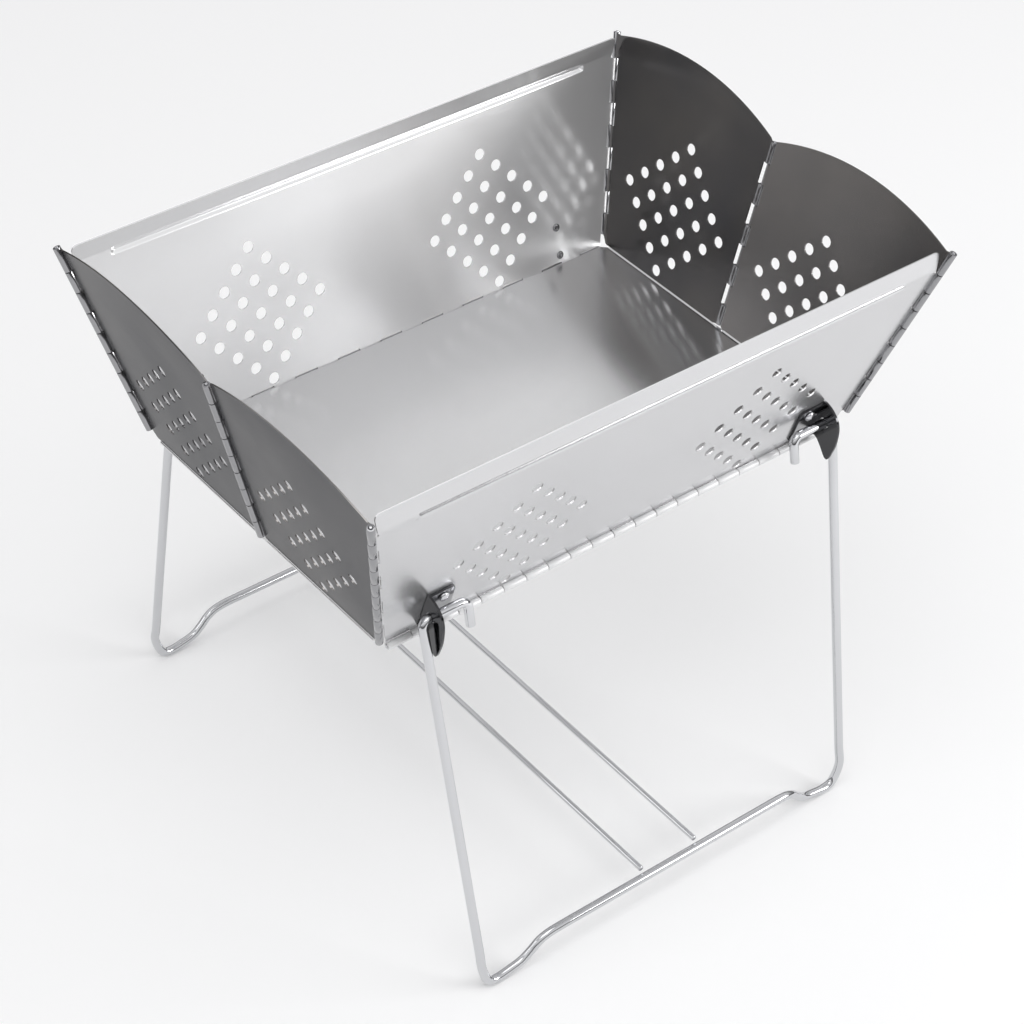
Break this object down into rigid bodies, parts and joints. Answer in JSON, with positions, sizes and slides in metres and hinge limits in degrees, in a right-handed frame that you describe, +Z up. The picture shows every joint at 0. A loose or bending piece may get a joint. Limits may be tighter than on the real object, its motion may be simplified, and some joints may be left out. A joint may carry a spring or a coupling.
{
  "type": "folding grill",
  "caption": "Folding charcoal grill: flared fire box of perforated sheet steel with hinged end leaves, on two folding wire leg frames.",
  "frame": {"origin": "centre of the bounding box on the ground under the feet", "axes": "+X along the long walls to the right, +Y to the rear, +Z up"},
  "size_m": [0.4124, 0.3622, 0.3805],
  "materials": {
    "floor_sheet": "bright satin stainless sheet",
    "long_wall_sheet": "satin stainless sheet",
    "end_leaf_sheet": "satin stainless sheet",
    "bracket_steel": "polished",
    "hinge_pin": "drawn wire",
    "bright_wire": "polished wire"
  },
  "bodies": {
    "base": {"base_plate": "floor_sheet", "rear_base_hinge_pin": "hinge_pin", "front_base_hinge_pin": "hinge_pin"},
    "rear_wall": {"rear_panel": "long_wall_sheet", "left_rear_corner_pin": "hinge_pin", "left_rear_leg_bracket": "bracket_steel", "left_rear_rivet_upper": "bracket_steel", "left_rear_rivet_lower": "bracket_steel", "right_rear_corner_pin": "hinge_pin", "right_rear_leg_bracket": "bracket_steel", "right_rear_rivet_upper": "bracket_steel", "right_rear_rivet_lower": "bracket_steel"},
    "front_wall": {"front_panel": "long_wall_sheet", "left_front_corner_pin": "hinge_pin", "left_front_leg_bracket": "bracket_steel", "left_front_rivet_upper": "bracket_steel", "left_front_rivet_lower": "bracket_steel", "right_front_corner_pin": "hinge_pin", "right_front_leg_bracket": "bracket_steel", "right_front_rivet_upper": "bracket_steel", "right_front_rivet_lower": "bracket_steel"},
    "left_rear_end_leaf": {"left_rear_leaf": "end_leaf_sheet", "left_central_pin": "hinge_pin"},
    "right_rear_end_leaf": {"right_rear_leaf": "end_leaf_sheet", "right_central_pin": "hinge_pin"},
    "left_front_end_leaf": {"left_front_leaf": "end_leaf_sheet"},
    "right_front_end_leaf": {"right_front_leaf": "end_leaf_sheet"},
    "rear_legs": {"rear_leg_frame": "bright_wire"},
    "front_legs": {"front_leg_frame": "bright_wire"},
    "spreader": {"left_spreader_wire": "bright_wire", "right_spreader_wire": "bright_wire"}
  },
  "joints": [
    {"name": "left_rear_leaf_fold", "type": "hinge", "parent": "rear_wall", "child": "left_rear_end_leaf", "pos_m": [-0.1876, 0.12881, 0.30627], "axis": [-0.2438, 0.2737, 0.9304], "range_deg": [0, 35.5]},
    {"name": "left_front_leaf_fold", "type": "hinge", "parent": "front_wall", "child": "left_front_end_leaf", "pos_m": [-0.1876, -0.13255, 0.30627], "axis": [0.2438, 0.2737, -0.9304], "range_deg": [0, 35.5]},
    {"name": "right_rear_leaf_fold", "type": "hinge", "parent": "rear_wall", "child": "right_rear_end_leaf", "pos_m": [0.1876, 0.12881, 0.30627], "axis": [-0.2438, -0.2737, -0.9304], "range_deg": [0, 35.5]},
    {"name": "right_front_leaf_fold", "type": "hinge", "parent": "front_wall", "child": "right_front_end_leaf", "pos_m": [0.1876, -0.13255, 0.30627], "axis": [0.2438, -0.2737, 0.9304], "range_deg": [0, 35.5]},
    {"name": "rear_wall_tilt", "type": "hinge", "parent": "base", "child": "rear_wall", "pos_m": [0, 0.10996, 0.23954], "axis": [1, 0, 0], "range_deg": [0, 2.86]},
    {"name": "front_wall_tilt", "type": "hinge", "parent": "base", "child": "front_wall", "pos_m": [0, -0.1137, 0.23954], "axis": [-1, 0, 0], "range_deg": [0, 2.86]},
    {"name": "rear_legs_fold", "type": "hinge", "parent": "rear_wall", "child": "rear_legs", "pos_m": [0, 0.12053, 0.25659], "axis": [1, 0, 0], "range_deg": [0, 148]},
    {"name": "front_legs_fold", "type": "hinge", "parent": "front_wall", "child": "front_legs", "pos_m": [0, -0.12427, 0.25659], "axis": [-1, 0, 0], "range_deg": [0, 148]},
    {"name": "spreader_fold", "type": "hinge", "parent": "rear_legs", "child": "spreader", "pos_m": [0, 0.17453, 0.01969], "axis": [-1, 0, 0], "range_deg": [0, 72]}
  ],
  "couplings": [
    {"joint": "left_front_leaf_fold", "follows": "left_rear_leaf_fold", "ratio": 1},
    {"joint": "right_rear_leaf_fold", "follows": "left_rear_leaf_fold", "ratio": 1},
    {"joint": "right_front_leaf_fold", "follows": "left_rear_leaf_fold", "ratio": 1},
    {"joint": "rear_wall_tilt", "follows": "left_rear_leaf_fold", "ratio": 0.08},
    {"joint": "front_wall_tilt", "follows": "left_rear_leaf_fold", "ratio": 0.08},
    {"joint": "spreader_fold", "follows": "rear_legs_fold", "ratio": 0.485}
  ]
}
